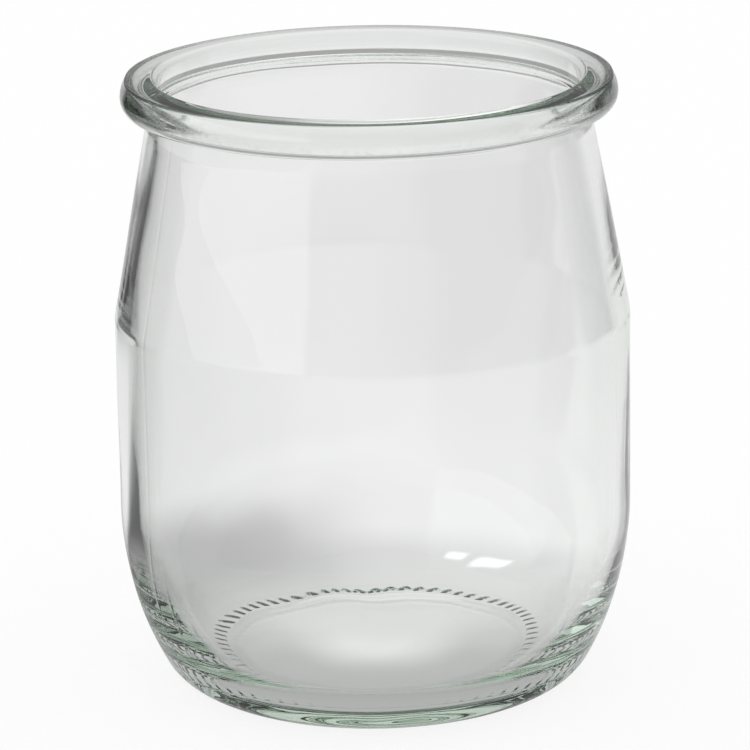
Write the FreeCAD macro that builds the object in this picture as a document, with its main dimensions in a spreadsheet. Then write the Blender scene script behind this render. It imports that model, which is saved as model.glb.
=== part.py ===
"""Glass yogurt jar: one piece of pressed and blown soda-lime glass.

The wall is turned about +Z from three sections. The first gives the blank: the heel, the body, the
ridge where the shoulder starts, the neck and the rolled rim. The second takes out the inside, and
the third the hollow under the base. Short radial knurls then cross the ring that the jar stands on.
The origin is the centre of that ring, +Z is up, and lengths are in millimetres.
"""

import FreeCAD, Part
import math
import os

import Sketcher

# name, value and meaning of each size that can be set by itself
SIZES = (
    ("jar_height", 75.8, "from the bearing ring to the top of the rim"),
    ("body_width", 63.0, "outer diameter of the body"),
    ("bearing_width", 42.0, "outer diameter of the flat ring the jar stands on"),
    ("bearing_band", 1.1, "radial width of that ring"),
    ("heel_height", 22.5, "where the heel's curve meets the straight body"),
    ("heel_toe_round", 6.5, "radius where the heel turns into the bearing ring"),
    ("shoulder_start", 45.6, "where the body turns into the shoulder"),
    ("shoulder_round", 7.0, "radius of the soft ridge at the shoulder's start"),
    ("neck_width", 53.7, "outer diameter of the neck, just under the rim"),
    ("neck_round", 0.6, "radius in the corner between neck and rim"),
    ("rim_width", 60.0, "outer diameter of the rolled rim"),
    ("rim_depth", 4.3, "from the top of the rim to its underside"),
    ("rim_lower_round", 2.0, "radius of the rim's lower edge"),
    ("rim_upper_inset", 0.7, "how far the rim's upper corner lies inside its widest line"),
    ("rim_upper_drop", 0.2, "how far that corner lies below the top"),
    ("mouth_width", 51.3, "inner diameter of the mouth"),
    ("lip_round", 0.7, "radius of the mouth's inner edge"),
    ("throat_depth", 3.1, "height of the straight wall inside the rim"),
    ("throat_ledge", 0.5, "height of the sloping ledge under that wall"),
    ("neck_wall", 1.75, "glass thickness at the neck"),
    ("body_wall", 1.9, "glass thickness at the body"),
    ("inner_heel_round", 28.0, "radius of the inner wall's curve towards the floor"),
    ("floor_height", 3.0, "height of the inner floor above the bearing ring"),
    ("floor_round", 12.0, "radius between that curve and the floor"),
    ("push_up", 0.5, "rise of the hollow under the base at its centre"),
    ("knurl_count", 68, "knurls round the bearing ring"),
    ("knurl_start", 0.8, "from the bearing ring's outer edge in to where the knurls start"),
    ("knurl_length", 2.2, "radial length of a knurl"),
    ("knurl_depth", 0.35, "depth of a knurl in the bearing ring"),
    ("knurl_round", 0.75, "radius of a knurl's rounded bottom"),
)
SIZE = {name: value for name, value, _ in SIZES}

ORIGIN = -1  # geometry index of a sketch's own origin
START, END, CENTRE = 1, 2, 3
CLEARANCE = 1.0  # how far a cutting section reaches past the glass
TOE_SHARE = 0.65  # the most of the heel's reach that the toe's round takes


def make_sheet(doc):
    """Fill the spreadsheet: a meaning, a plain number and an alias on each row."""
    sheet = doc.addObject("Spreadsheet::Sheet", "Sizes")
    for row, (name, value, meaning) in enumerate(SIZES, start=1):
        sheet.set(f"A{row}", meaning)
        sheet.set(f"B{row}", str(value))
        sheet.setAlias(f"B{row}", name)
    doc.recompute()
    return sheet


class Section:
    """A closed section in the plane of radius and height, drawn edge after edge."""

    def __init__(self, body, name, plane="XZ_Plane"):
        self.sketch = body.newObject("Sketcher::SketchObject", name)
        planes = {item.Role: item for item in body.Origin.OriginFeatures}
        self.sketch.AttachmentSupport = [(planes[plane], "")]
        self.sketch.MapMode = "FlatFace"

    def line(self, start, end):
        """Add a line and return its index."""
        ends = [FreeCAD.Vector(x, y, 0) for x, y in (start, end)]
        return self.sketch.addGeometry(Part.LineSegment(*ends), False)

    def arc(self, centre, radius, first, last):
        """Add an arc that turns anticlockwise between two angles in degrees, and return its index."""
        circle = Part.Circle(FreeCAD.Vector(*centre, 0), FreeCAD.Vector(0, 0, 1), radius)
        arc = Part.ArcOfCircle(circle, math.radians(first), math.radians(last))
        return self.sketch.addGeometry(arc, False)

    def rule(self, kind, *where):
        """Add a constraint that has no size."""
        self.sketch.addConstraint(Sketcher.Constraint(kind, *where))

    def size(self, kind, where, value, formula):
        """Add a constraint with a size, bound to a formula of the spreadsheet's values."""
        index = self.sketch.addConstraint(Sketcher.Constraint(kind, *where, value))
        self.sketch.setExpression(f"Constraints[{index}]", formula)

    def radius_at(self, edge, end, value, formula):
        """Set how far a point lies from the axis."""
        self.size("DistanceX", (ORIGIN, START, edge, end), value, formula)

    def height_at(self, edge, end, value, formula):
        """Set how high a point lies above the bearing ring."""
        self.size("DistanceY", (ORIGIN, START, edge, end), value, formula)

    def join(self, edge, end, other, other_end, smooth=False):
        """Join two ends, with a common tangent where smooth."""
        self.rule("Tangent" if smooth else "Coincident", edge, end, other, other_end)

    def close(self, doc):
        """Solve the section, and stop if its rules disagree or leave it loose."""
        doc.recompute()
        if self.sketch.solve() != 0:
            raise RuntimeError(f"{self.sketch.Name} can't be solved")
        if not self.sketch.FullyConstrained:
            raise RuntimeError(f"{self.sketch.Name} isn't fully constrained")
        return self.sketch


def polar(centre, radius, degrees):
    """The point of a circle at an angle."""
    angle = math.radians(degrees)
    return centre[0] + radius * math.cos(angle), centre[1] + radius * math.sin(angle)


def shoulder_lean(radius_low, height_low, round_low, radius_top, height_top):
    """The angle from upright, in degrees, of the line that leaves a tangent arc for a point."""
    centre = (radius_low - round_low, height_low)
    across, up = radius_top - centre[0], height_top - centre[1]
    reach = math.hypot(across, up)
    return math.degrees(math.atan2(up, across) - math.acos(round_low / reach))


def blank_section(doc, body):
    """The outside of the jar, from the axis to the glass and back over the rim."""
    body_radius = SIZE["body_width"] / 2
    bearing_radius = SIZE["bearing_width"] / 2
    rim_radius = SIZE["rim_width"] / 2
    neck_radius = SIZE["neck_width"] / 2
    height = SIZE["jar_height"]
    underside = height - SIZE["rim_depth"]
    heel = SIZE["heel_height"]
    start, ridge = SIZE["shoulder_start"], SIZE["shoulder_round"]
    lip_radius = SIZE["mouth_width"] / 2 + SIZE["lip_round"]

    # the heel's large arc is level with the body at its top and rolls into the toe's small one
    reach = body_radius - bearing_radius
    toe = min(SIZE["heel_toe_round"], TOE_SHARE * reach)
    toe_limit = f"{TOE_SHARE} * (Sizes.body_width - Sizes.bearing_width) / 2"
    sweep = (reach**2 + heel**2 - 2 * heel * toe) / (2 * (reach - toe))
    heel_centre = (body_radius - sweep, heel)
    toe_centre = (bearing_radius, toe)
    turn = math.degrees(math.atan2(toe - heel, bearing_radius - heel_centre[0]))
    lean = shoulder_lean(body_radius, start, ridge, neck_radius, underside)
    ridge_centre = (body_radius - ridge, start)
    roll = SIZE["rim_lower_round"]
    roll_centre = (rim_radius - roll, underside + roll)
    corner = (rim_radius - SIZE["rim_upper_inset"], height - SIZE["rim_upper_drop"])
    inset, rise = SIZE["rim_upper_inset"], corner[1] - roll_centre[1]
    side = (inset**2 + rise**2) / (2 * inset)
    side_centre = (rim_radius - side, roll_centre[1])
    side_end = math.degrees(math.asin(rise / side))
    across, drop = corner[0] - lip_radius, SIZE["rim_upper_drop"]
    crown = (across**2 + drop**2) / (2 * drop)
    crown_centre = (lip_radius, height - crown)
    crown_start = 90 - math.degrees(math.asin(across / crown))
    fillet = SIZE["neck_round"]
    fillet_centre = (neck_radius + fillet, underside - fillet)

    section = Section(body, "blank_section")
    base = section.line((0, 0), (bearing_radius, 0))
    toe_arc = section.arc(toe_centre, toe, -90, turn)
    heel_arc = section.arc(heel_centre, sweep, turn, 0)
    wall = section.line((body_radius, heel), (body_radius, start))
    ridge_arc = section.arc(ridge_centre, ridge, 0, lean)
    shoulder = section.line(polar(ridge_centre, ridge, lean), polar(fillet_centre, fillet, 180))
    neck_arc = section.arc(fillet_centre, fillet, 90, 180)
    under = section.line((fillet_centre[0], underside), (roll_centre[0], underside))
    roll_arc = section.arc(roll_centre, roll, -90, 0)
    side_arc = section.arc(side_centre, side, 0, side_end)
    crown_arc = section.arc(crown_centre, crown, crown_start, 90)
    top = section.line((lip_radius, height), (0, height))
    axis = section.line((0, height), (0, 0))

    section.join(axis, END, base, START)
    section.join(base, END, toe_arc, START, smooth=True)
    section.join(toe_arc, END, heel_arc, START, smooth=True)
    section.join(heel_arc, END, wall, START, smooth=True)
    section.join(wall, END, ridge_arc, START, smooth=True)
    section.join(ridge_arc, END, shoulder, START, smooth=True)
    section.join(shoulder, END, neck_arc, END, smooth=True)
    section.join(neck_arc, START, under, START, smooth=True)
    section.join(under, END, roll_arc, START, smooth=True)
    section.join(roll_arc, END, side_arc, START, smooth=True)
    section.join(side_arc, END, crown_arc, START)
    section.join(crown_arc, END, top, START, smooth=True)
    section.join(top, END, axis, START)
    section.rule("Horizontal", base)
    section.rule("Horizontal", under)
    section.rule("Horizontal", top)
    section.rule("Vertical", wall)
    section.rule("Vertical", axis)
    section.rule("Coincident", base, START, ORIGIN, START)

    section.radius_at(base, END, bearing_radius, "Sizes.bearing_width / 2")
    section.size("Radius", (toe_arc,), toe, f"min(Sizes.heel_toe_round; {toe_limit})")
    section.radius_at(wall, START, body_radius, "Sizes.body_width / 2")
    section.height_at(wall, START, heel, "Sizes.heel_height")
    section.height_at(wall, END, start, "Sizes.shoulder_start")
    section.size("Radius", (ridge_arc,), ridge, "Sizes.shoulder_round")
    section.radius_at(shoulder, END, neck_radius, "Sizes.neck_width / 2")
    section.size("Radius", (neck_arc,), fillet, "Sizes.neck_round")
    section.height_at(under, START, underside, "Sizes.jar_height - Sizes.rim_depth")
    section.size("Radius", (roll_arc,), roll, "Sizes.rim_lower_round")
    section.radius_at(roll_arc, END, rim_radius, "Sizes.rim_width / 2")
    section.height_at(
        roll_arc, END, roll_centre[1], "Sizes.jar_height - Sizes.rim_depth + Sizes.rim_lower_round"
    )
    section.radius_at(side_arc, END, corner[0], "Sizes.rim_width / 2 - Sizes.rim_upper_inset")
    section.height_at(side_arc, END, corner[1], "Sizes.jar_height - Sizes.rim_upper_drop")
    section.radius_at(top, START, lip_radius, "Sizes.mouth_width / 2 + Sizes.lip_round")
    section.height_at(top, START, height, "Sizes.jar_height")
    return section.close(doc)


def cavity_section(doc, body):
    """The inside: the mouth, the throat's ledge, the shoulder, the wall, its heel and the floor."""
    height = SIZE["jar_height"]
    mouth_radius = SIZE["mouth_width"] / 2
    lip = SIZE["lip_round"]
    throat = height - SIZE["throat_depth"]
    ledge = throat - SIZE["throat_ledge"]
    neck_radius = SIZE["neck_width"] / 2 - SIZE["neck_wall"]
    wall_radius = SIZE["body_width"] / 2 - SIZE["body_wall"]
    start = SIZE["shoulder_start"]
    ridge = SIZE["shoulder_round"] - SIZE["body_wall"]
    ridge_centre = (wall_radius - ridge, start)
    lean = shoulder_lean(wall_radius, start, ridge, neck_radius, ledge)
    heel, sweep = SIZE["heel_height"], SIZE["inner_heel_round"]
    floor, corner = SIZE["floor_height"], SIZE["floor_round"]
    heel_centre = (wall_radius - sweep, heel)

    # the floor's corner touches the floor and, from inside, the inner wall's curve
    drop = heel - floor - corner
    corner_centre = (heel_centre[0] + math.sqrt((sweep - corner) ** 2 - drop**2), floor + corner)
    turn = -math.degrees(math.asin(drop / (sweep - corner)))
    over = height + CLEARANCE

    section = Section(body, "cavity_section")
    lid = section.line((0, over), (mouth_radius + lip, over))
    rise = section.line((mouth_radius + lip, over), (mouth_radius + lip, height))
    lip_arc = section.arc((mouth_radius + lip, height - lip), lip, 90, 180)
    mouth = section.line((mouth_radius, height - lip), (mouth_radius, throat))
    slope = section.line((mouth_radius, throat), (neck_radius, ledge))
    shoulder = section.line((neck_radius, ledge), polar(ridge_centre, ridge, lean))
    ridge_arc = section.arc(ridge_centre, ridge, 0, lean)
    wall = section.line((wall_radius, start), (wall_radius, heel))
    heel_arc = section.arc(heel_centre, sweep, turn, 0)
    corner_arc = section.arc(corner_centre, corner, -90, turn)
    ground = section.line((corner_centre[0], floor), (0, floor))
    axis = section.line((0, floor), (0, over))

    section.join(axis, END, lid, START)
    section.join(lid, END, rise, START)
    section.join(rise, END, lip_arc, START)
    section.join(lip_arc, END, mouth, START, smooth=True)
    section.join(mouth, END, slope, START)
    section.join(slope, END, shoulder, START)
    section.join(shoulder, END, ridge_arc, END, smooth=True)
    section.join(ridge_arc, START, wall, START, smooth=True)
    section.join(wall, END, heel_arc, END, smooth=True)
    section.join(heel_arc, START, corner_arc, END, smooth=True)
    section.join(corner_arc, START, ground, START, smooth=True)
    section.join(ground, END, axis, START)
    section.rule("Horizontal", lid)
    section.rule("Horizontal", ground)
    section.rule("Vertical", rise)
    section.rule("Vertical", mouth)
    section.rule("Vertical", wall)
    section.rule("Vertical", axis)
    section.rule("PointOnObject", axis, START, -2)

    section.height_at(lid, END, over, f"Sizes.jar_height + {CLEARANCE}")
    section.radius_at(lip_arc, START, mouth_radius + lip, "Sizes.mouth_width / 2 + Sizes.lip_round")
    section.height_at(lip_arc, START, height, "Sizes.jar_height")
    section.size("Radius", (lip_arc,), lip, "Sizes.lip_round")
    section.radius_at(mouth, START, mouth_radius, "Sizes.mouth_width / 2")
    section.height_at(mouth, END, throat, "Sizes.jar_height - Sizes.throat_depth")
    section.radius_at(shoulder, START, neck_radius, "Sizes.neck_width / 2 - Sizes.neck_wall")
    section.height_at(
        shoulder, START, ledge, "Sizes.jar_height - Sizes.throat_depth - Sizes.throat_ledge"
    )
    section.size("Radius", (ridge_arc,), ridge, "Sizes.shoulder_round - Sizes.body_wall")
    section.radius_at(wall, START, wall_radius, "Sizes.body_width / 2 - Sizes.body_wall")
    section.height_at(wall, START, start, "Sizes.shoulder_start")
    section.height_at(wall, END, heel, "Sizes.heel_height")
    section.size("Radius", (heel_arc,), sweep, "Sizes.inner_heel_round")
    section.size("Radius", (corner_arc,), corner, "Sizes.floor_round")
    section.height_at(ground, START, floor, "Sizes.floor_height")
    return section.close(doc)


def push_up_section(doc, body):
    """The shallow dome under the base, inside the bearing ring."""
    edge = SIZE["bearing_width"] / 2 - SIZE["bearing_band"]
    rise = SIZE["push_up"]
    dome = (edge**2 + rise**2) / (2 * rise)
    centre = (0, rise - dome)
    first = 90 - math.degrees(math.asin(edge / dome))

    section = Section(body, "push_up_section")
    bottom = section.line((0, -CLEARANCE), (edge, -CLEARANCE))
    side = section.line((edge, -CLEARANCE), (edge, 0))
    dome_arc = section.arc(centre, dome, first, 90)
    axis = section.line((0, rise), (0, -CLEARANCE))

    section.join(axis, END, bottom, START)
    section.join(bottom, END, side, START)
    section.join(side, END, dome_arc, START)
    section.join(dome_arc, END, axis, START)
    section.rule("Horizontal", bottom)
    section.rule("Vertical", side)
    section.rule("Vertical", axis)
    section.rule("PointOnObject", axis, START, -2)
    section.rule("PointOnObject", dome_arc, CENTRE, -2)
    section.rule("PointOnObject", side, END, -1)
    section.size("DistanceY", (axis, END, ORIGIN, START), CLEARANCE, f"{CLEARANCE}")
    section.radius_at(side, END, edge, "Sizes.bearing_width / 2 - Sizes.bearing_band")
    section.height_at(dome_arc, END, rise, "Sizes.push_up")
    return section.close(doc)


def knurl_section(doc, body):
    """The round bottom of one knurl, seen along the radius that it is cut on."""
    radius, depth = SIZE["knurl_round"], SIZE["knurl_depth"]
    section = Section(body, "knurl_section", "YZ_Plane")
    section.sketch.setExpression(
        "AttachmentOffset.Base.z", "Sizes.bearing_width / 2 - Sizes.knurl_start"
    )
    circle = Part.Circle(FreeCAD.Vector(0, depth - radius, 0), FreeCAD.Vector(0, 0, 1), radius)
    ring = section.sketch.addGeometry(circle, False)
    section.rule("PointOnObject", ring, CENTRE, -2)
    section.size("Radius", (ring,), radius, "Sizes.knurl_round")
    section.size(
        "DistanceY",
        (ring, CENTRE, ORIGIN, START),
        radius - depth,
        "Sizes.knurl_round - Sizes.knurl_depth",
    )
    return section.close(doc)


def turn(doc, body, kind, name, sketch):
    """Turn a section fully round the sketch's vertical axis, as added or cut glass."""
    feature = body.newObject(kind, name)
    feature.Profile = sketch
    feature.ReferenceAxis = (sketch, ["V_Axis"])
    feature.Angle = 360.0
    doc.recompute()
    return feature


def z_axis(body):
    """The body's own Z axis."""
    return next(item for item in body.Origin.OriginFeatures if item.Role == "Z_Axis")


def require_cut(name, before, after):
    """Stop if a cut took nothing away."""
    if not after.Volume < before.Volume:
        raise RuntimeError(f"{name} cuts nothing")


def make_jar(doc):
    """Build the jar as one body."""
    body = doc.addObject("PartDesign::Body", "Jar")
    body.Label = "jar"
    body.Placement = FreeCAD.Placement()
    blank = turn(doc, body, "PartDesign::Revolution", "blank", blank_section(doc, body))
    cavity = turn(doc, body, "PartDesign::Groove", "cavity", cavity_section(doc, body))
    require_cut("cavity", blank.Shape, cavity.Shape)
    hollow = turn(doc, body, "PartDesign::Groove", "push_up", push_up_section(doc, body))
    require_cut("push_up", cavity.Shape, hollow.Shape)

    knurl = body.newObject("PartDesign::Pocket", "knurl")
    knurl.Profile = knurl_section(doc, body)
    knurl.Type = 0
    knurl.Reversed = True
    knurl.setExpression("Length", "Sizes.knurl_length")
    doc.recompute()
    require_cut("knurl", hollow.Shape, knurl.Shape)

    knurls = body.newObject("PartDesign::PolarPattern", "knurls")
    knurls.Originals = [knurl]
    knurls.Axis = (z_axis(body), [""])
    knurls.Angle = 360.0
    knurls.setExpression("Occurrences", "Sizes.knurl_count")
    body.Tip = knurls
    doc.recompute()
    require_cut("knurls", knurl.Shape, knurls.Shape)
    return body


def check_document(doc):
    """Stop if a feature failed to build."""
    for item in doc.Objects:
        if "Invalid" in item.State or "Error" in item.State:
            raise RuntimeError(f"{item.Name} failed: {item.State}")


def write_part(body):
    """Check one sub-part's solid and write it under its own label."""
    shape = body.Shape
    if shape.isNull() or not shape.isValid() or len(shape.Solids) != 1:
        raise RuntimeError(f"{body.Label} isn't one valid solid")
    shape.exportStep(os.path.join("parts", f"{body.Label}.step"))
    print(f"{body.Label}: {shape.Volume / 1000:.2f} cm3, {shape.optimalBoundingBox(False)}")


def main():
    """Build the document and write each sub-part's STEP file."""
    os.makedirs("parts", exist_ok=True)
    doc = FreeCAD.newDocument("yogurt_jar")
    make_sheet(doc)
    jar = make_jar(doc)
    check_document(doc)
    write_part(jar)


main()
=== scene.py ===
"""Looks of a clear glass yogurt jar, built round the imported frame.

The jar is one closed skin of glass. Its section runs from the axis under the base, round the heel
and the body, over the rolled rim, down the inside and back to the axis, and the skin is that
section carried round +Z. Lengths are millimetres here and turn to metres when a mesh is made.
"""

import logging
import math
from dataclasses import dataclass, field
from enum import Enum

import bpy
import numpy as np
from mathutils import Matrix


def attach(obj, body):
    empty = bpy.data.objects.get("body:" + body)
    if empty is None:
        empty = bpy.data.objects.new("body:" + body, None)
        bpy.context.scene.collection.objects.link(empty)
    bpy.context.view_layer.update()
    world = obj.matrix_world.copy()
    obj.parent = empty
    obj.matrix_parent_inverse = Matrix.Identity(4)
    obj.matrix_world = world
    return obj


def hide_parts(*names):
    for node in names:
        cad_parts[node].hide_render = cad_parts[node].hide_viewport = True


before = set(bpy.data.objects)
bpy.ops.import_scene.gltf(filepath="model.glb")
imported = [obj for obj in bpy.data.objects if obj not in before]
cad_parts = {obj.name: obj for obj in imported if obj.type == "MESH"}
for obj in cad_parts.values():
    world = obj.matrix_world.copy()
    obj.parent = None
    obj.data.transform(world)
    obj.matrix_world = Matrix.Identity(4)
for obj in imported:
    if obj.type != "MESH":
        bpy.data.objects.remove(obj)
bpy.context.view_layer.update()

LOG = logging.getLogger("yogurt_jar")
MM = 0.001  # metres in a millimetre
WHITE = "#FFFFFF"
GRAIN = "neck_ring_grain"  # the mesh attribute that says where the glass is matt


def smooth_step(values: np.ndarray, low: float, high: float) -> np.ndarray:
    """Rise from 0 to 1 between two values along a cubic with level ends.

    The cubic is the square of the share of the way, times three less twice that share.

    Args:
        values: where to read the step.
        low: the value up to which the step is 0.
        high: the value from which the step is 1.

    Returns:
        The step at each value.
    """
    share = np.clip((values - low) / (high - low), 0.0, 1.0)
    return share * share * (3.0 - 2.0 * share)


def bell(values: np.ndarray, width: float) -> np.ndarray:
    """A bell curve of height 1 about zero: e to the minus half the square of value over width.

    Args:
        values: distances from the middle of the bell.
        width: the bell's standard deviation.

    Returns:
        The bell's height at each distance.
    """
    return np.exp(-0.5 * (values / width) ** 2)


def linear_colour(code: str) -> tuple[float, float, float, float]:
    """Turn an sRGB hex colour into the linear one that a shader takes.

    Args:
        code: six hex digits after a hash sign.

    Returns:
        Linear red, green and blue, and an alpha of 1.
    """
    parts = [int(code[start : start + 2], 16) / 255.0 for start in (1, 3, 5)]
    red, green, blue = (
        part / 12.92 if part <= 0.04045 else ((part + 0.055) / 1.055) ** 2.4 for part in parts
    )
    return red, green, blue, 1.0


def add_node(
    tree: bpy.types.NodeTree,
    kind: str,
    settings: dict[str, object] | None = None,
    links: dict[str | int, bpy.types.NodeSocket] | None = None,
) -> bpy.types.Node:
    """Add one node to a tree, with its settings and the links into it.

    Args:
        tree: the tree that gets the node.
        kind: the node's type name.
        settings: values by name, for the node itself or else for its input sockets.
        links: output sockets by the name or the number of the input they go to.

    Returns:
        The new node.
    """
    node = tree.nodes.new(kind)
    for name, value in (settings or {}).items():
        if hasattr(node, name):
            setattr(node, name, value)
        else:
            node.inputs[name].default_value = value
    for name, socket in (links or {}).items():
        tree.links.new(socket, node.inputs[name])
    return node


def line(start: tuple[float, float], end: tuple[float, float], steps: int) -> np.ndarray:
    """Points of a straight run, its start included and its end left to the next run.

    Each point is the start times one less its share of the way, plus the end times that share.

    Args:
        start: radius and height where the run starts.
        end: radius and height where it ends.
        steps: how many points it gets.

    Returns:
        One row of radius and height for each point.
    """
    share = np.arange(steps)[:, None] / steps
    return np.array(start) * (1.0 - share) + np.array(end) * share


def arc(
    centre: tuple[float, float], radius: float, first: float, last: float, steps: int
) -> np.ndarray:
    """Points of a circle between two angles, its start included and its end left out.

    Each point is the centre plus the radius times the cosine and the sine of its angle.

    Args:
        centre: radius and height of the circle's centre.
        radius: the circle's radius.
        first: the angle in degrees where it starts, from straight outwards.
        last: the angle where it ends.
        steps: how many points it gets.

    Returns:
        One row of radius and height for each point.
    """
    angle = np.radians(first + (last - first) * np.arange(steps) / steps)
    return np.stack([centre[0] + radius * np.cos(angle), centre[1] + radius * np.sin(angle)], 1)


def on_circle(centre: tuple[float, float], radius: float, degrees: float) -> tuple[float, float]:
    """The point of a circle at an angle in degrees: centre plus radius times cosine and sine."""
    angle = math.radians(degrees)
    return centre[0] + radius * math.cos(angle), centre[1] + radius * math.sin(angle)


def tangent_lean(centre: tuple[float, float], radius: float, point: tuple[float, float]) -> float:
    """The angle, in degrees, at which a line to a point leaves a circle without a corner."""
    across, up = point[0] - centre[0], point[1] - centre[1]
    return math.degrees(math.atan2(up, across) - math.acos(radius / math.hypot(across, up)))


class Zone(Enum):
    """The stretches of the jar's section that carry marks of their own."""

    UNDERSIDE = "underside"
    BEARING = "bearing"
    TOE = "toe"
    OUTSIDE = "outside"
    RIM = "rim"
    INSIDE = "inside"
    FLOOR = "floor"


@dataclass
class JarSection:
    """The section of the jar: half of its outline, as radius and height in millimetres."""

    height: float = 75.8
    body_radius: float = 31.5
    bearing_radius: float = 21.0
    bearing_band: float = 1.1
    heel_height: float = 22.5
    toe_round: float = 6.5
    shoulder_start: float = 45.6
    shoulder_round: float = 7.0
    neck_radius: float = 26.85
    neck_round: float = 0.6
    rim_radius: float = 30.0
    rim_depth: float = 4.3
    rim_roll: float = 2.0
    corner_inset: float = 0.7
    corner_drop: float = 0.2
    mouth_radius: float = 25.65
    lip_round: float = 0.7
    throat_depth: float = 3.1
    throat_ledge: float = 0.5
    neck_wall: float = 1.75
    body_wall: float = 1.9
    inner_heel: float = 30.0
    floor_height: float = 3.0
    floor_round: float = 9.0
    floor_rise: float = 0.5
    push_up: float = 0.5

    def underneath(self) -> list[tuple[Zone, np.ndarray]]:
        """The dome under the base and the flat ring that the jar stands on.

        The dome's radius is its half width squared plus its rise squared, over twice its rise.

        Returns:
            Each stretch's zone and points, from the axis outwards.
        """
        edge = self.bearing_radius - self.bearing_band
        dome = (edge**2 + self.push_up**2) / (2.0 * self.push_up)
        first = 90.0 - math.degrees(math.asin(edge / dome))
        hollow = arc((0.0, self.push_up - dome), dome, 90.0, first, 9)
        ring = line((edge, 0.0), (self.bearing_radius, 0.0), 24)
        return [(Zone.UNDERSIDE, hollow), (Zone.BEARING, ring)]

    def heel_arc(self) -> tuple[tuple[float, float], float]:
        """The heel's large arc, level with the body at its top and rolling into the toe's arc.

        Its radius is the reach squared plus the height squared, less twice the height times the
        toe's round, over twice what the reach leaves beside the toe's round.

        Returns:
            Its centre and its radius.
        """
        reach, toe = self.body_radius - self.bearing_radius, self.toe_round
        sweep = (reach**2 + self.heel_height**2 - 2.0 * self.heel_height * toe) / (
            2.0 * (reach - toe)
        )
        return (self.body_radius - sweep, self.heel_height), sweep

    def outside(self) -> list[tuple[Zone, np.ndarray]]:
        """The heel, the straight body, the ridge and the leaning shoulder up to the rim.

        Returns:
            Each stretch's zone and points, from the bearing ring upwards.
        """
        heel, sweep = self.heel_arc()
        toe = self.toe_round
        turn = math.degrees(math.atan2(toe - heel[1], self.bearing_radius - heel[0]))
        ridge = (self.body_radius - self.shoulder_round, self.shoulder_start)
        under = self.height - self.rim_depth
        lean = tangent_lean(ridge, self.shoulder_round, (self.neck_radius, under))
        fillet = (self.neck_radius + self.neck_round, under - self.neck_round)
        runs = [
            arc(heel, sweep, turn, 0.0, 22),
            line((self.body_radius, heel[1]), (self.body_radius, ridge[1]), 9),
            arc(ridge, self.shoulder_round, 0.0, lean, 8),
            line(
                on_circle(ridge, self.shoulder_round, lean),
                on_circle(fillet, self.neck_round, 180.0),
                11,
            ),
            arc(fillet, self.neck_round, 180.0, 90.0, 4),
        ]
        toe_run = arc((self.bearing_radius, toe), toe, -90.0, turn, 24)
        return [(Zone.TOE, toe_run)] + [(Zone.OUTSIDE, run) for run in runs]

    def over_the_rim(self) -> list[tuple[Zone, np.ndarray]]:
        """The rim's underside, its rolled side, its upper corner, the crown, and the lip.

        The side and the crown leave the corner by a drop over a run: their radii are the run
        squared plus the drop squared, over twice the drop.

        Returns:
            Each stretch's zone and points, from the neck over the rim to the mouth.
        """
        under = self.height - self.rim_depth
        roll = (self.rim_radius - self.rim_roll, under + self.rim_roll)
        corner = (self.rim_radius - self.corner_inset, self.height - self.corner_drop)
        rise = corner[1] - roll[1]
        side = (self.corner_inset**2 + rise**2) / (2.0 * self.corner_inset)
        side_end = math.degrees(math.asin(rise / side))
        lip_start = self.mouth_radius + self.lip_round
        across = corner[0] - lip_start
        crown = (across**2 + self.corner_drop**2) / (2.0 * self.corner_drop)
        crown_first = 90.0 - math.degrees(math.asin(across / crown))
        lip = (lip_start, self.height - self.lip_round)
        runs = [
            line((self.neck_radius + self.neck_round, under), (roll[0], under), 3),
            arc(roll, self.rim_roll, -90.0, 0.0, 7),
            arc((self.rim_radius - side, roll[1]), side, 0.0, side_end, 8),
            arc((lip_start, self.height - crown), crown, crown_first, 90.0, 9),
            arc(lip, self.lip_round, 90.0, 180.0, 7),
        ]
        return [(Zone.RIM, run) for run in runs]

    def inside(self) -> list[tuple[Zone, np.ndarray]]:
        """The straight throat, its ledge, the inner shoulder, the wall, its corner and the floor.

        The corner's circle rolls inside the inner heel's, so their centres lie the difference of
        the radii apart. The floor rises by one less the square of its share of the way out.

        Returns:
            Each stretch's zone and points, from the lip down to the axis.
        """
        throat = self.height - self.throat_depth
        ledge = (self.neck_radius - self.neck_wall, throat - self.throat_ledge)
        wall = self.body_radius - self.body_wall
        bend = self.shoulder_round - self.body_wall
        ridge = (wall - bend, self.shoulder_start)
        lean = tangent_lean(ridge, bend, ledge)
        inner = self.inner_heel
        heel = (wall - inner, self.heel_height)
        drop = self.heel_height - self.floor_height - self.floor_round
        corner = (
            heel[0] + math.sqrt((inner - self.floor_round) ** 2 - drop**2),
            self.floor_height + self.floor_round,
        )
        turn = math.degrees(math.atan2(-drop, corner[0] - heel[0]))
        throat_runs = [
            line((self.mouth_radius, self.height - self.lip_round), (self.mouth_radius, throat), 5),
            line((self.mouth_radius, throat), ledge, 4),
        ]
        wall_runs = [
            line(ledge, on_circle(ridge, bend, lean), 14),
            arc(ridge, bend, lean, 0.0, 7),
            line((wall, ridge[1]), (wall, heel[1]), 10),
            arc(heel, inner, 0.0, turn, 14),
            arc(corner, self.floor_round, turn, -90.0, 12),
        ]
        floor = line((corner[0], self.floor_height), (0.0, self.floor_height), 14)
        floor[:, 1] += self.floor_rise * (1 - (floor[:, 0] / corner[0]) ** 2)
        return (
            [(Zone.RIM, run) for run in throat_runs]
            + [(Zone.INSIDE, run) for run in wall_runs]
            + [(Zone.FLOOR, floor)]
        )

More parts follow.
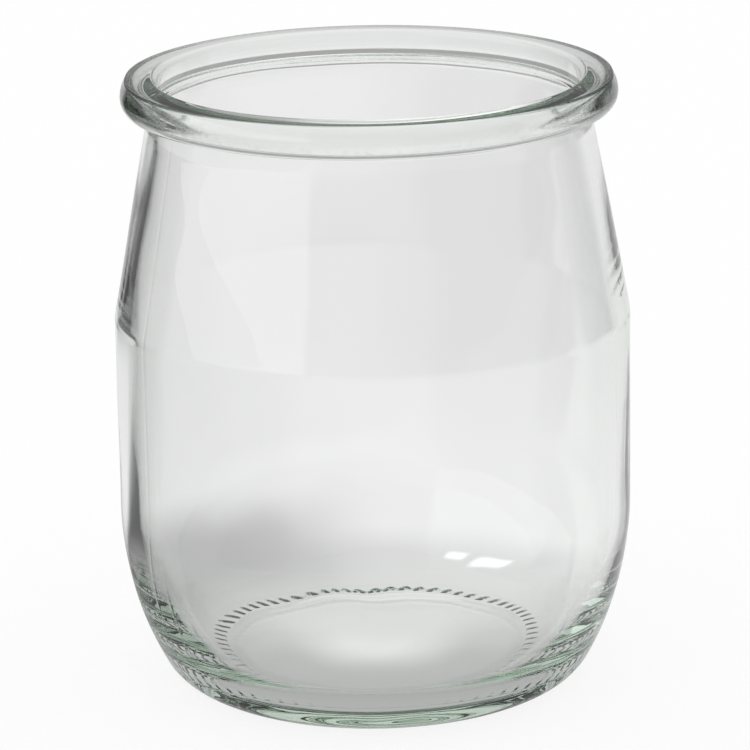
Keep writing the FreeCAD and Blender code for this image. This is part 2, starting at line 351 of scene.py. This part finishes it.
    def outline(self) -> tuple[np.ndarray, np.ndarray]:
        """The whole section from axis to axis.

        Returns:
            The points as rows of radius and height, and each point's zone as an array.
        """
        runs = self.underneath() + self.outside() + self.over_the_rim() + self.inside()
        middle = np.array([[0.0, self.floor_height + self.floor_rise]])
        points = np.concatenate([run for _, run in runs] + [middle])
        zones = np.concatenate([np.full(len(run), zone) for zone, run in runs] + [[Zone.FLOOR]])
        return points, zones


@dataclass(frozen=True)
class Swell:
    """A soft random unevenness of the glass: how high it is, and how it is stretched in space.

    The height is millimetres. A place is multiplied by the stretch, and then shifted, before the
    waves are read there: a large stretch across makes narrow waves, and a small one along the
    height draws them out to streaks.
    """

    height: float
    waves: int
    across: float = 1.0
    along: float = 1.0
    shift: float = 0.0


@dataclass
class JarRelief:
    """What a mould and a blow leave on the glass: knurls, seams and a gentle unevenness.

    Lengths are millimetres, and the seams' angles are degrees from the front towards the right. A
    pair is where something begins to show and where it is full: radii from the knurls' ends for
    their fades, and heights for the starts of the seams and of the chill.
    """

    knurls: int = 68
    knurl_columns: int = 6
    knurl_inner: float = 20.2
    knurl_outer: float = 23.3
    knurl_depth: float = 0.22
    knurl_width: float = 0.90
    inner_fade: tuple[float, float] = (-0.15, 0.1)
    outer_fade: tuple[float, float] = (-0.1, 0.15)
    seam_angles: tuple[float, float] = (-60.0, 120.0)
    seam_height: float = 0.012
    seam_width: float = 0.2
    seam_start: tuple[float, float] = (1.0, 6.0)
    seam_reach: float = 3.0
    seam_columns: int = 11
    rim_seam_height: float = 0.07
    rim_seam_width: float = 0.18
    ripple: Swell = Swell(0.02, 12)
    drag: Swell = Swell(0.006, 16, across=2.6, along=0.3)
    chill: Swell = Swell(0.03, 14, across=1.3, along=1.3, shift=40.0)
    chill_start: tuple[float, float] = (0.2, 2.5)
    wave_lengths: tuple[float, float] = (9.0, 34.0)
    seed: int = 7

    def columns(self, radius: float) -> np.ndarray:
        """Angles round the jar: a few to each knurl, and close together across each mould seam.

        Args:
            radius: the body's radius, by which a seam's width turns to an angle.

        Returns:
            Sorted angles in radians, from the front towards the right.
        """
        count = self.knurls * self.knurl_columns
        even = np.arange(count) * (2.0 * math.pi / count)
        across = np.linspace(-self.seam_reach, self.seam_reach, self.seam_columns)
        across = across * self.seam_width / radius
        seams = (np.radians(self.seam_angles)[:, None] + across).ravel() % (2.0 * math.pi)
        return np.unique(np.concatenate([even, seams]).round(6))

    def knurl_cut(self, radius: np.ndarray, angle: np.ndarray) -> np.ndarray:
        """Depth of the knurls: a soft-edged groove along the radius, repeated round the ring.

        Across a groove the depth is its full depth times the square of one less the squared share
        of the half width, so it is level at the bottom and runs out level at its edges.

        Args:
            radius: distance from the axis at each grid point.
            angle: angle at each grid point.

        Returns:
            How far each point is lifted off the bearing plane.
        """
        pitch = 2.0 * math.pi / self.knurls
        sideways = ((angle + pitch / 2.0) % pitch - pitch / 2.0) * radius
        share = np.clip(1.0 - (sideways / self.knurl_width) ** 2, 0.0, None)
        depth = self.knurl_depth * share**2
        starts = smooth_step(radius, *(self.knurl_inner + edge for edge in self.inner_fade))
        stops = smooth_step(radius, *(self.knurl_outer + edge for edge in self.outer_fade))
        return depth * (starts * (1.0 - stops))

    def unevenness(self, places: np.ndarray, swell: Swell) -> np.ndarray:
        """A soft random swell: a sum of plane cosine waves through space, read where the glass is.

        Args:
            places: points as an array whose last axis is x, y and height.
            swell: how many waves are added, and how space is stretched for them.

        Returns:
            The swell, with a standard deviation near 1.
        """
        random = np.random.default_rng(self.seed)
        stretched = places * [swell.across, swell.across, swell.along] + swell.shift
        total = np.zeros(places.shape[:-1])
        for _ in range(swell.waves):
            way = random.normal(size=3)
            way *= 2.0 * math.pi / (np.linalg.norm(way) * random.uniform(*self.wave_lengths))
            total += np.cos(stretched @ way + random.uniform(0.0, 2.0 * math.pi))
        return total * math.sqrt(2.0 / swell.waves)


@dataclass
class GlassJar:
    """The jar's glass as one closed skin."""

    section: JarSection = field(default_factory=JarSection)
    relief: JarRelief = field(default_factory=JarRelief)
    name: str = "jar_glass"
    grain_start: tuple[float, float] = (-2.2, -0.6)  # heights from the bead's underside
    grain_stop: tuple[float, float] = (-0.9, -0.3)  # heights from the top of the rim
    grain_inset: float = 0.5  # how far inside the neck's radius the grain still lies

    def skin(self) -> tuple[np.ndarray, np.ndarray]:
        """The grid of points, rows along the section and columns round the jar.

        Each point is (radius times sine of the angle, minus radius times cosine, height), moved
        along the section's own normal by the relief that belongs to its zone.

        Returns:
            Points as an array of rows, columns and coordinates, and the angles of the columns.
        """
        section, relief = self.section, self.relief
        outline, zones = section.outline()
        angles = relief.columns(section.body_radius)
        step = np.gradient(outline, axis=0)
        length = np.hypot(step[:, 0], step[:, 1])
        normal = np.stack([step[:, 1], -step[:, 0]], 1) / length[:, None]
        radius, angle = np.meshgrid(outline[:, 0], angles, indexing="ij")
        height = np.repeat(outline[:, 1:], len(angles), axis=1)

        low = np.isin(zones, [Zone.BEARING, Zone.TOE])[:, None]
        cut = np.clip(relief.knurl_cut(radius, angle) - height, 0.0, None)
        height = height + np.where(low, cut, 0.0)

        corner = (section.rim_radius - section.corner_inset, section.height - section.corner_drop)
        rim_seam = bell(np.hypot(*(outline - np.array(corner)).T), relief.rim_seam_width)
        push = (rim_seam * relief.rim_seam_height)[:, None] * np.ones_like(angle)
        seamed = smooth_step(outline[:, 1], *relief.seam_start) * np.isin(zones, [Zone.OUTSIDE])
        for seam in np.radians(relief.seam_angles):
            aside = ((angle - seam + math.pi) % (2.0 * math.pi) - math.pi) * radius
            push = push + seamed[:, None] * bell(aside, relief.seam_width) * relief.seam_height

        # the blown inside swells freely, and the chill only draws the moulded outside in
        places = np.stack([radius * np.sin(angle), -radius * np.cos(angle), height], 2)
        blown = np.isin(zones, [Zone.INSIDE, Zone.FLOOR])
        swells = (relief.ripple, relief.drag)
        swell = sum(relief.unevenness(places, each) * each.height for each in swells)
        push = push + blown[:, None] * swell
        moulded = smooth_step(outline[:, 1], *relief.chill_start)
        moulded = moulded * np.isin(zones, [Zone.TOE, Zone.OUTSIDE])
        wave = np.tanh(relief.unevenness(places, relief.chill)) - 1.0
        push = push + moulded[:, None] * wave * relief.chill.height

        radius = radius + normal[:, :1] * push
        height = height + normal[:, 1:] * push
        grid = np.stack([radius * np.sin(angle), -radius * np.cos(angle), height], 2)
        return grid, angles

    def grain(self) -> np.ndarray:
        """How much of the neck ring's grain each row of the section bears.

        The split ring that shapes the bead isn't polished like the body mould, so the bead's side
        and its underside come out faintly matt, and the crown that the plunger pressed stays clear.

        Returns:
            A share from 0 to 1 for each row.
        """
        outline, zones = self.section.outline()
        radius, height = outline.T
        top, under = self.section.height, self.section.height - self.section.rim_depth
        outer = radius > self.section.neck_radius - self.grain_inset
        starts = smooth_step(height, *(under + edge for edge in self.grain_start))
        stops = smooth_step(height, *(top + edge for edge in self.grain_stop))
        return np.isin(zones, [Zone.RIM, Zone.OUTSIDE]) * outer * starts * (1.0 - stops)

    def build(self) -> bpy.types.Object:
        """Make the mesh from the grid, whose first and last rows shrink to one pole each.

        Returns:
            The object, with its place in its mesh.
        """
        grid, angles = self.skin()
        strips, count = grid.shape[0] - 3, len(angles)
        poles = grid[[0, -1], 0] * [0.0, 0.0, 1.0]
        points = np.concatenate([poles, grid[1:-1].reshape(-1, 3)]) * MM
        row = np.arange(strips)[:, None] * count + len(poles)
        column = np.arange(count)[None, :]
        beside = (column + 1) % count
        quads = np.stack(
            [row + column, row + beside, row + count + beside, row + count + column], 2
        ).reshape(-1, 4)
        first, last = len(poles), len(poles) + strips * count
        column, beside = column.ravel(), beside.ravel()
        bottom = np.stack([np.zeros(count, int), first + beside, first + column], 1)
        top = np.stack([np.ones(count, int), last + column, last + beside], 1)
        mesh = bpy.data.meshes.new(self.name)
        mesh.from_pydata(points.tolist(), [], bottom.tolist() + quads.tolist() + top.tolist())
        mesh.shade_smooth()
        mesh.update()
        marked = mesh.attributes.new(GRAIN, "FLOAT", "POINT")
        grain = np.repeat(self.grain()[1:-1], count)
        marked.data.foreach_set("value", np.concatenate([np.zeros(len(poles)), grain]))
        jar = bpy.data.objects.new(self.name, mesh)
        bpy.context.scene.collection.objects.link(jar)
        return jar


@dataclass(frozen=True)
class FlintGlass:
    """Soda-lime glass with a trace of iron, blown in a polished iron mould.

    To the eye it is colourless where it is thin, and grey-green where light runs far along it, in
    the rim, the edges of the wall and the thick heel. The bead's side has a fine matt grain, which
    softens what shows through it.
    """

    name: str = "soda_lime_glass"
    grain_roughness: tuple[float, float] = (0.02, 0.20)
    grain_size: float = 0.7  # millimetres
    grain_span: tuple[float, float] = (0.3, 0.7)  # of the speckle's value
    grain_detail: float = 2.0
    ior: float = 1.52
    tint: str = "#B4D2B9"
    density: float = 15.0  # of the absorption, per metre of glass

    def material(self) -> bpy.types.Material:
        """Make the material: a clear refracting skin, matt on the bead, round a tinted inside.

        Returns:
            The material.
        """
        made = bpy.data.materials.new(self.name)
        made.use_nodes = True
        tree = made.node_tree
        tree.nodes.clear()
        place = add_node(tree, "ShaderNodeTexCoord").outputs["Object"]
        speckle = add_node(
            tree,
            "ShaderNodeTexNoise",
            {"Scale": 1.0 / (self.grain_size * MM), "Detail": self.grain_detail},
            {"Vector": place},
        )
        depth = add_node(
            tree,
            "ShaderNodeMapRange",
            {
                "From Min": self.grain_span[0],
                "From Max": self.grain_span[1],
                "To Min": self.grain_roughness[0],
                "To Max": self.grain_roughness[1],
            },
            {"Value": speckle.outputs[0]},
        )
        grain = add_node(tree, "ShaderNodeAttribute", {"attribute_name": GRAIN})
        matt = add_node(
            tree,
            "ShaderNodeMath",
            {"operation": "MULTIPLY"},
            {0: grain.outputs["Fac"], 1: depth.outputs[0]},
        )
        surface = add_node(
            tree,
            "ShaderNodeBsdfPrincipled",
            {
                "Base Color": linear_colour(WHITE),
                "IOR": self.ior,
                "Transmission Weight": 1.0,
            },
            {"Roughness": matt.outputs[0]},
        )
        volume = add_node(
            tree,
            "ShaderNodeVolumeAbsorption",
            {"Color": linear_colour(self.tint), "Density": self.density},
        )
        add_node(
            tree,
            "ShaderNodeOutputMaterial",
            links={"Surface": surface.outputs["BSDF"], "Volume": volume.outputs["Volume"]},
        )
        return made


@dataclass(frozen=True)
class PaintedPatch:
    """A patch of painted light or shade that the glass sees lighter or darker than the rest.

    The azimuth and its half width are degrees from the front towards the right, and a half width of
    180 goes all round. The reach runs over sines of the elevation for the world, and over metres
    from the jar's axis for the floor.
    """

    azimuth: float
    half_width: float
    fade: float
    reach: tuple[float, float]
    reach_fade: float
    tone: float

    def way(self) -> tuple[float, float, float]:
        """The level direction from the jar towards the patch's middle, as x, y and z."""
        angle = math.radians(self.azimuth)
        return math.sin(angle), -math.cos(angle), 0.0

    def edges(self) -> tuple[float, float]:
        """Where the patch begins and ends to fade, as cosines of the angle from its middle.

        Returns:
            The cosine at which it starts to show, and the one from which it is full.
        """
        full = math.cos(math.radians(self.half_width))
        if self.half_width >= 180.0:
            return full - 1.0, full
        return math.cos(math.radians(min(self.half_width + self.fade, 180.0))), full


@dataclass
class Studio:
    """A white sweep in soft light, round which the glass alone shows painted reflections of a
    softbox and dimmer walls, and painted shadows and highlights on the floor.

    The floor's reach and the gap under the jar are millimetres, and a tone of 1 is white.
    """

    floor_reach: float = 4000.0
    floor_gap: float = 0.03
    floor_glow: float = 0.85  # the share of the floor's white that no shadow dims
    room_tone: float = 0.70
    room_painted_reflections: tuple[PaintedPatch, ...] = (
        # painted reflections, seen only in the glass: darker low to the front right, paler
        # overhead, a painted softbox reflection to the left, and a dark low band behind that
        # darkens the rim
        PaintedPatch(60.0, 87.0, 3.0, (-1.0, 0.35), 0.3, 0.55),
        PaintedPatch(0.0, 180.0, 0.0, (0.75, 1.1), 0.3, 0.88),
        PaintedPatch(292.0, 37.0, 2.0, (-1.0, 0.7), 0.2, 1.15),
        PaintedPatch(180.0, 38.0, 14.0, (-1.0, 0.31), 0.12, 0.36),
    )
    table_tone: float = 0.86  # of the floor as the glass shows it
    floor_painted_light_and_shade: tuple[PaintedPatch, ...] = (
        # painted light and shade on the floor, seen only in the glass: darker far behind, a painted
        # pool of light to the front right, a painted contact shadow close behind the jar, darker
        # and near-black patches to the left and behind, a dark one to the right behind, a painted
        # shadow under the front of the jar, and two small painted caustic highlights close behind
        PaintedPatch(180.0, 50.0, 15.0, (0.16, 0.60), 0.09, 0.81),
        PaintedPatch(45.0, 15.0, 55.0, (0.07, 0.25), 0.035, 1.3),
        PaintedPatch(180.0, 60.0, 40.0, (0.026, 0.038), 0.016, 0.68),
        PaintedPatch(226.0, 14.0, 34.0, (0.040, 0.050), 0.026, 0.50),
        PaintedPatch(280.0, 30.0, 26.0, (0.04, 9.0), 0.02, 0.42),
        PaintedPatch(243.0, 9.0, 6.0, (0.07, 0.20), 0.03, 0.13),
        PaintedPatch(232.0, 21.0, 6.0, (0.20, 9.0), 0.05, 0.10),
        PaintedPatch(118.0, 9.0, 9.0, (0.30, 9.0), 0.05, 0.35),
        PaintedPatch(0.0, 55.0, 90.0, (0.013, 0.027), 0.010, 0.45),
        PaintedPatch(154.0, 1.0, 4.0, (0.0365, 0.037), 0.004, 1.4),
        PaintedPatch(163.0, 0.5, 2.5, (0.0385, 0.039), 0.003, 1.2),
    )

    def tone(
        self,
        tree: bpy.types.NodeTree,
        place: bpy.types.NodeSocket,
        level: bpy.types.NodeSocket,
        base: float,
        patches: tuple[PaintedPatch, ...],
    ) -> bpy.types.NodeSocket:
        """Lay patches of painted light and shade over a plain tone, each fading out at its edges.

        A patch's share is the product of three smooth steps: one over the cosine of the angle from
        its middle, and one at each end of its reach.

        Args:
            tree: the tree that gets the nodes.
            place: a direction or a point, whose heading picks the patch.
            level: the value that a patch's reach is read on.
            base: the tone without patches.
            patches: the patches, the later ones over the earlier ones.

        Returns:
            The socket with the tone.
        """
        flat = add_node(tree, "ShaderNodeVectorMath", {"operation": "MULTIPLY"}, {0: place})
        flat.inputs[1].default_value = (1.0, 1.0, 0.0)
        heading = add_node(
            tree, "ShaderNodeVectorMath", {"operation": "NORMALIZE"}, {0: flat.outputs[0]}
        )
        total = add_node(tree, "ShaderNodeValue").outputs[0]
        total.default_value = base
        for patch in patches:
            towards = add_node(
                tree, "ShaderNodeVectorMath", {"operation": "DOT_PRODUCT"}, {0: heading.outputs[0]}
            )
            towards.inputs[1].default_value = patch.way()
            low, high = patch.reach
            sides = (
                (towards.outputs["Value"], patch.edges(), (0.0, 1.0)),
                (level, (low - patch.reach_fade, low), (0.0, 1.0)),
                (level, (high, high + patch.reach_fade), (1.0, 0.0)),
            )
            steps = [
                add_node(
                    tree,
                    "ShaderNodeMapRange",
                    {
                        "interpolation_type": "SMOOTHSTEP",
                        "From Min": between[0],
                        "From Max": between[1],
                        "To Min": ends[0],
                        "To Max": ends[1],
                    },
                    {"Value": source},
                ).outputs[0]
                for source, between, ends in sides
            ]
            share = steps[0]
            for step in steps[1:]:
                both = add_node(
                    tree, "ShaderNodeMath", {"operation": "MULTIPLY"}, {0: share, 1: step}
                )
                share = both.outputs[0]
            blend = add_node(
                tree, "ShaderNodeMix", {"data_type": "FLOAT"}, {"Factor": share, "A": total}
            )
            blend.inputs["B"].default_value = patch.tone
            total = blend.outputs[0]
        return total

    def floor(self) -> bpy.types.Object:
        """The pale floor: a wide level square under the jar.

        Returns:
            The floor's object.
        """
        reach = self.floor_reach * MM
        level = -self.floor_gap * MM
        corners = [
            (x * reach, y * reach, level) for x, y in ((-1, -1), (1, -1), (1, 1), (-1, 1))
        ]
        mesh = bpy.data.meshes.new("studio_floor")
        mesh.from_pydata(corners, [], [(0, 1, 2, 3)])
        floor = bpy.data.objects.new("studio_floor", mesh)
        bpy.context.scene.collection.objects.link(floor)
        mesh.materials.append(self.floor_paper())
        return floor

    def floor_paper(self) -> bpy.types.Material:
        """Matt white paper: white with a soft shadow for the eye, and for the glass a glow with
        painted shadows and painted highlights.

        Returns:
            The paper's material.
        """
        paper = bpy.data.materials.new("white_sweep_paper")
        paper.use_nodes = True
        tree = paper.node_tree
        tree.nodes.clear()
        matt = add_node(tree, "ShaderNodeBsdfDiffuse", {"Color": linear_colour(WHITE)})
        glow = add_node(
            tree, "ShaderNodeEmission", {"Color": linear_colour(WHITE), "Strength": 1.0}
        )
        eye = add_node(
            tree,
            "ShaderNodeMixShader",
            {"Fac": self.floor_glow},
            {1: matt.outputs[0], 2: glow.outputs[0]},
        )
        place = add_node(tree, "ShaderNodeTexCoord").outputs["Object"]
        away = add_node(tree, "ShaderNodeVectorMath", {"operation": "LENGTH"}, {0: place})
        tone = self.tone(tree, place, away.outputs["Value"], self.table_tone, self.floor_painted_light_and_shade)
        # a glow with painted shadows and painted highlights, which only rays off or through the
        # glass see
        floor_painted_for_glass = add_node(
            tree, "ShaderNodeEmission", {"Color": linear_colour(WHITE)}, {"Strength": tone}
        )
        path = add_node(tree, "ShaderNodeLightPath")
        both = add_node(
            tree,
            "ShaderNodeMixShader",
            links={0: path.outputs["Is Camera Ray"], 1: floor_painted_for_glass.outputs[0], 2: eye.outputs[0]},
        )
        add_node(tree, "ShaderNodeOutputMaterial", links={"Surface": both.outputs[0]})
        return paper

    def surroundings(self) -> bpy.types.World:
        """White behind for the eye and an even light on matt things, and painted reflections for
        glass.

        Returns:
            The world.
        """
        world = bpy.data.worlds.new("soft_room")
        world.use_nodes = True
        tree = world.node_tree
        tree.nodes.clear()
        path = add_node(tree, "ShaderNodeLightPath")
        way = add_node(tree, "ShaderNodeTexCoord").outputs["Generated"]
        split = add_node(tree, "ShaderNodeSeparateXYZ", links={0: way})
        tone = self.tone(tree, way, split.outputs["Z"], self.room_tone, self.room_painted_reflections)
        # the painted reflections, which only rays off or through the glass see
        room_painted_reflections = add_node(
            tree, "ShaderNodeBackground", {"Color": linear_colour(WHITE)}, {"Strength": tone}
        )
        white = add_node(
            tree, "ShaderNodeBackground", {"Color": linear_colour(WHITE), "Strength": 1.0}
        )
        plain = add_node(
            tree,
            "ShaderNodeMath",
            {"operation": "MAXIMUM"},
            {0: path.outputs["Is Camera Ray"], 1: path.outputs["Is Diffuse Ray"]},
        )
        both = add_node(
            tree,
            "ShaderNodeMixShader",
            links={0: plain.outputs[0], 1: room_painted_reflections.outputs[0], 2: white.outputs[0]},
        )
        add_node(tree, "ShaderNodeOutputWorld", links={"Surface": both.outputs[0]})
        bpy.context.scene.world = world
        return world

    def build(self) -> None:
        """Set up the floor and the surroundings."""
        self.floor()
        self.surroundings()


@dataclass
class Viewpoint:
    """The camera: a long lens a little above the rim, looking along +Y and gently down.

    Lengths are millimetres, and the elevation and the roll are degrees.
    """

    distance: float = 509.6
    elevation: float = 16.109
    roll: float = 0.909
    target: tuple[float, float, float] = (0.19, 0.0, 37.84)
    lens: float = 199.15
    sensor: float = 36.0

    def build(self) -> bpy.types.Object:
        """Make the camera and give it to the scene.

        Returns:
            The camera's object.
        """
        data = bpy.data.cameras.new("view")
        data.lens, data.sensor_width = self.lens, self.sensor
        data.clip_start, data.clip_end = 0.01, 20.0
        camera = bpy.data.objects.new("view", data)
        bpy.context.scene.collection.objects.link(camera)
        rise = math.radians(self.elevation)
        back = np.array([0.0, -math.cos(rise), math.sin(rise)]) * self.distance
        camera.location = (np.array(self.target) + back) * MM
        camera.rotation_euler = (math.pi / 2.0 - rise, 0.0, 0.0)
        camera.rotation_euler.rotate_axis("Z", -math.radians(self.roll))
        bpy.context.scene.camera = camera
        return camera


def main() -> None:
    """Build the jar, dress it, set up the studio and the view, and log the jar's face count."""
    logging.basicConfig(level=logging.INFO, format="%(name)s: %(message)s")
    jar = GlassJar().build()
    jar.data.materials.append(FlintGlass().material())
    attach(jar, "root")
    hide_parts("jar")
    LOG.info("%s: %d faces", jar.name, len(jar.data.polygons))
    Studio().build()
    Viewpoint().build()
    scene = bpy.context.scene
    scene.view_settings.view_transform = "Standard"
    scene.cycles.max_bounces = 32
    scene.cycles.transmission_bounces = 32
    scene.cycles.glossy_bounces = 16


if __name__ == "__main__":
    main()
